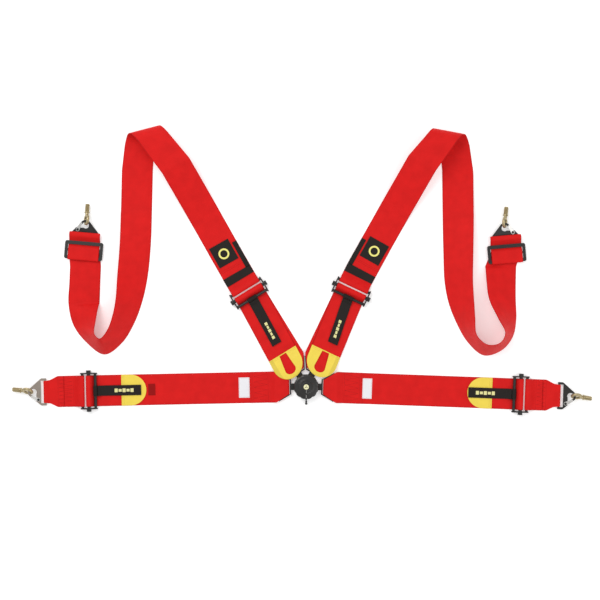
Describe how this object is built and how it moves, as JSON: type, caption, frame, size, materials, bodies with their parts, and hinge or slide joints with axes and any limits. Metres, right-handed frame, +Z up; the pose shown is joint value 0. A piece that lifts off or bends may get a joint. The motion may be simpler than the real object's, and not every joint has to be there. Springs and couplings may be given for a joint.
{
  "type": "racing harness",
  "caption": "Red racing harness with shoulder and lap arms of wide webbing, a turn-to-release cam-lock buckle, adjusters, snap hooks and eyebolts.",
  "frame": {"origin": "centre of the buckle's back face, on the surface that the harness lies on", "axes": "+X across the lap arms to the right, +Y towards the shoulder arms, +Z up out of the surface"},
  "size_m": [1.3993, 0.6976, 0.0722],
  "materials": {
    "red_webbing": "woven polyester, satin",
    "yellow_tab": "coated webbing",
    "black_webbing": "woven polyester",
    "black_steel": "black phosphate",
    "grey_steel": "satin",
    "black_alloy": "black anodised, semi-gloss",
    "bright_steel": "zinc plated",
    "zinc": "yellow zinc plated",
    "emblem": "gloss"
  },
  "bodies": {
    "buckle": {"buckle_base_plate": "black_alloy", "buckle_housing": "black_alloy", "centre_post": "bright_steel", "return_spring": "bright_steel", "fixed_tongue_rivet": "bright_steel", "left_lap_tongue": "black_steel", "left_lap_tongue_strap": "red_webbing", "left_lap_pull_tab": "yellow_tab", "left_lap_adjuster_frame": "black_steel", "left_lap_anchor_strap": "red_webbing"},
    "knob": {"release_knob": "black_alloy", "knob_cap": "emblem", "cam_ring": "bright_steel"},
    "lower_peg": {"lower_slot_peg": "black_alloy"},
    "left_shoulder": {"left_shoulder_tongue": "black_steel", "left_shoulder_tongue_strap": "red_webbing", "left_shoulder_pull_tab": "yellow_tab", "left_shoulder_adjuster_frame": "black_steel", "left_shoulder_strap": "red_webbing", "left_shoulder_grip_patch": "black_webbing", "left_shoulder_three_bar_slide": "black_steel"},
    "left_shoulder_pin": {"left_shoulder_lock_pin": "bright_steel"},
    "left_shoulder_slider": {"left_shoulder_adjuster_slider": "black_steel"},
    "left_shoulder_tab": {"left_shoulder_release_tab": "black_webbing"},
    "left_shoulder_hook": {"left_shoulder_hook_plate": "black_steel", "left_shoulder_latch_rivet": "black_steel"},
    "left_shoulder_latch": {"left_shoulder_hook_latch": "bright_steel"},
    "left_shoulder_bolt": {"left_shoulder_eyebolt": "zinc"},
    "right_shoulder": {"right_shoulder_tongue": "black_steel", "right_shoulder_tongue_strap": "red_webbing", "right_shoulder_pull_tab": "yellow_tab", "right_shoulder_adjuster_frame": "black_steel", "right_shoulder_strap": "red_webbing", "right_shoulder_grip_patch": "black_webbing", "right_shoulder_three_bar_slide": "black_steel"},
    "right_shoulder_pin": {"right_shoulder_lock_pin": "bright_steel"},
    "right_shoulder_slider": {"right_shoulder_adjuster_slider": "black_steel"},
    "right_shoulder_tab": {"right_shoulder_release_tab": "black_webbing"},
    "right_shoulder_hook": {"right_shoulder_hook_plate": "black_steel", "right_shoulder_latch_rivet": "black_steel"},
    "right_shoulder_latch": {"right_shoulder_hook_latch": "bright_steel"},
    "right_shoulder_bolt": {"right_shoulder_eyebolt": "zinc"},
    "left_lap_slider": {"left_lap_adjuster_slider": "black_steel"},
    "left_lap_tab": {"left_lap_release_tab": "black_webbing"},
    "left_lap_hook": {"left_lap_hook_plate": "grey_steel", "left_lap_latch_rivet": "black_steel"},
    "left_lap_latch": {"left_lap_hook_latch": "bright_steel"},
    "left_lap_bolt": {"left_lap_eyebolt": "zinc"},
    "right_lap": {"right_lap_tongue": "black_steel", "right_lap_tongue_strap": "red_webbing", "right_lap_pull_tab": "yellow_tab", "right_lap_adjuster_frame": "black_steel", "right_lap_anchor_strap": "red_webbing"},
    "right_lap_pin": {"right_lap_lock_pin": "bright_steel"},
    "right_lap_slider": {"right_lap_adjuster_slider": "black_steel"},
    "right_lap_tab": {"right_lap_release_tab": "black_webbing"},
    "right_lap_hook": {"right_lap_hook_plate": "black_steel", "right_lap_latch_rivet": "black_steel"},
    "right_lap_latch": {"right_lap_hook_latch": "bright_steel"},
    "right_lap_bolt": {"right_lap_eyebolt": "zinc"}
  },
  "joints": [
    {"name": "knob_turn", "type": "hinge", "parent": "buckle", "child": "knob", "pos_m": [0, 0, 0.02], "axis": [0, 0, 1], "range_deg": [0, 40], "stiffness_Nm_per_rad": 0.25},
    {"name": "lower_peg_pull", "type": "slide", "parent": "buckle", "child": "lower_peg", "axis": [0, -1, 0], "range_m": [0, 0.025]},
    {"name": "left_shoulder_pin_lift", "type": "slide", "parent": "buckle", "child": "left_shoulder_pin", "axis": [0, 0, 1], "range_m": [0, 0.00805]},
    {"name": "left_shoulder_draw", "type": "slide", "parent": "buckle", "child": "left_shoulder", "axis": [-0.5225, 0.8526, 0], "range_m": [0, 0.0201]},
    {"name": "left_shoulder_slider_clamp", "type": "slide", "parent": "left_shoulder", "child": "left_shoulder_slider", "axis": [0.5225, -0.8526, 0], "range_m": [0, 0.001]},
    {"name": "left_shoulder_tab_lift", "type": "hinge", "parent": "left_shoulder", "child": "left_shoulder_tab", "pos_m": [-0.1301, 0.21231, 0.009], "axis": [-0.8526, -0.5225, 0], "range_deg": [0, 90]},
    {"name": "left_shoulder_hook_tilt", "type": "hinge", "parent": "left_shoulder", "child": "left_shoulder_hook", "pos_m": [-0.5345, 0.362, 0.00431], "axis": [-0.9962, 0.0872, 0], "range_deg": [0, 45]},
    {"name": "left_shoulder_latch_open", "type": "hinge", "parent": "left_shoulder_hook", "child": "left_shoulder_latch", "pos_m": [-0.55157, 0.37916, 0.01019], "axis": [-0.0187, -0.2136, 0.9768], "range_deg": [0, 35], "stiffness_Nm_per_rad": 0.02, "springref_deg": -11.46},
    {"name": "left_shoulder_bolt_swing", "type": "hinge", "parent": "left_shoulder_hook", "child": "left_shoulder_bolt", "pos_m": [-0.52948, 0.40264, 0.01329], "axis": [-0.8912, 0.1107, 0.4398], "range_deg": [-60, 50]},
    {"name": "right_shoulder_pin_lift", "type": "slide", "parent": "buckle", "child": "right_shoulder_pin", "axis": [0, 0, 1], "range_m": [0, 0.00805]},
    {"name": "right_shoulder_draw", "type": "slide", "parent": "buckle", "child": "right_shoulder", "axis": [0.4274, 0.9041, 0], "range_m": [0, 0.0201]},
    {"name": "right_shoulder_slider_clamp", "type": "slide", "parent": "right_shoulder", "child": "right_shoulder_slider", "axis": [-0.4274, -0.9041, 0], "range_m": [0, 0.001]},
    {"name": "right_shoulder_tab_lift", "type": "hinge", "parent": "right_shoulder", "child": "right_shoulder_tab", "pos_m": [0.10171, 0.21517, 0.009], "axis": [-0.9041, 0.4274, 0], "range_deg": [0, 90]},
    {"name": "right_shoulder_hook_tilt", "type": "hinge", "parent": "right_shoulder", "child": "right_shoulder_hook", "pos_m": [0.4815, 0.355, 0.00431], "axis": [-0.9962, -0.0872, 0], "range_deg": [0, 45]},
    {"name": "right_shoulder_latch_open", "type": "hinge", "parent": "right_shoulder_hook", "child": "right_shoulder_latch", "pos_m": [0.49857, 0.37216, 0.01019], "axis": [-0.0187, 0.2136, -0.9768], "range_deg": [0, 35], "stiffness_Nm_per_rad": 0.02, "springref_deg": -11.46},
    {"name": "right_shoulder_bolt_swing", "type": "hinge", "parent": "right_shoulder_hook", "child": "right_shoulder_bolt", "pos_m": [0.47847, 0.3959, 0.01331], "axis": [-0.9136, 0.0575, -0.4026], "range_deg": [-60, 50]},
    {"name": "left_lap_slider_clamp", "type": "slide", "parent": "buckle", "child": "left_lap_slider", "axis": [0.9998, 0.0209, 0], "range_m": [0, 0.001]},
    {"name": "left_lap_tab_lift", "type": "hinge", "parent": "buckle", "child": "left_lap_tab", "pos_m": [-0.50889, -0.01066, 0.009], "axis": [0.0209, -0.9998, 0], "range_deg": [0, 90]},
    {"name": "left_lap_hook_tilt", "type": "hinge", "parent": "buckle", "child": "left_lap_hook", "pos_m": [-0.63086, -0.01321, 0.00431], "axis": [0.0209, -0.9998, 0], "range_deg": [-40, 40]},
    {"name": "left_lap_latch_open", "type": "hinge", "parent": "left_lap_hook", "child": "left_lap_latch", "pos_m": [-0.64607, -0.03204, 0.01019], "axis": [0.2143, 0.0045, 0.9768], "range_deg": [0, 35], "stiffness_Nm_per_rad": 0.02, "springref_deg": -11.46},
    {"name": "left_lap_bolt_swing", "type": "hinge", "parent": "left_lap_hook", "child": "left_lap_bolt", "pos_m": [-0.67144, -0.01082, 0.01321], "axis": [-0.1649, -0.8656, 0.4728], "range_deg": [-60, 50]},
    {"name": "right_lap_pin_lift", "type": "slide", "parent": "buckle", "child": "right_lap_pin", "axis": [0, 0, 1], "range_m": [0, 0.00805]},
    {"name": "right_lap_draw", "type": "slide", "parent": "buckle", "child": "right_lap", "axis": [0.9993, -0.0366, 0], "range_m": [0, 0.0201]},
    {"name": "right_lap_slider_clamp", "type": "slide", "parent": "right_lap", "child": "right_lap_slider", "axis": [-0.9993, 0.0366, 0], "range_m": [0, 0.001]},
    {"name": "right_lap_tab_lift", "type": "hinge", "parent": "right_lap", "child": "right_lap_tab", "pos_m": [0.50166, -0.0184, 0.009], "axis": [0.0366, 0.9993, 0], "range_deg": [0, 90]},
    {"name": "right_lap_hook_tilt", "type": "hinge", "parent": "right_lap", "child": "right_lap_hook", "pos_m": [0.61059, -0.02239, 0.00431], "axis": [0.0366, 0.9993, 0], "range_deg": [-40, 40]},
    {"name": "right_lap_latch_open", "type": "hinge", "parent": "right_lap_hook", "child": "right_lap_latch", "pos_m": [0.6255, -0.04145, 0.01019], "axis": [0.2142, -0.0079, -0.9768], "range_deg": [0, 35], "stiffness_Nm_per_rad": 0.02, "springref_deg": -11.46},
    {"name": "right_lap_bolt_swing", "type": "hinge", "parent": "right_lap_hook", "child": "right_lap_bolt", "pos_m": [0.65159, -0.02334, 0.01331], "axis": [0.0774, 0.9028, -0.423], "range_deg": [-60, 50]}
  ],
  "couplings": [
    {"joint": "left_shoulder_pin_lift", "follows": "knob_turn", "m_per_rad": 0.011459},
    {"joint": "left_shoulder_draw", "follows": "knob_turn", "m_per_rad": 0.028648},
    {"joint": "right_shoulder_pin_lift", "follows": "knob_turn", "m_per_rad": 0.011459},
    {"joint": "right_shoulder_draw", "follows": "knob_turn", "m_per_rad": 0.028648},
    {"joint": "right_lap_pin_lift", "follows": "knob_turn", "m_per_rad": 0.011459},
    {"joint": "right_lap_draw", "follows": "knob_turn", "m_per_rad": 0.028648}
  ]
}
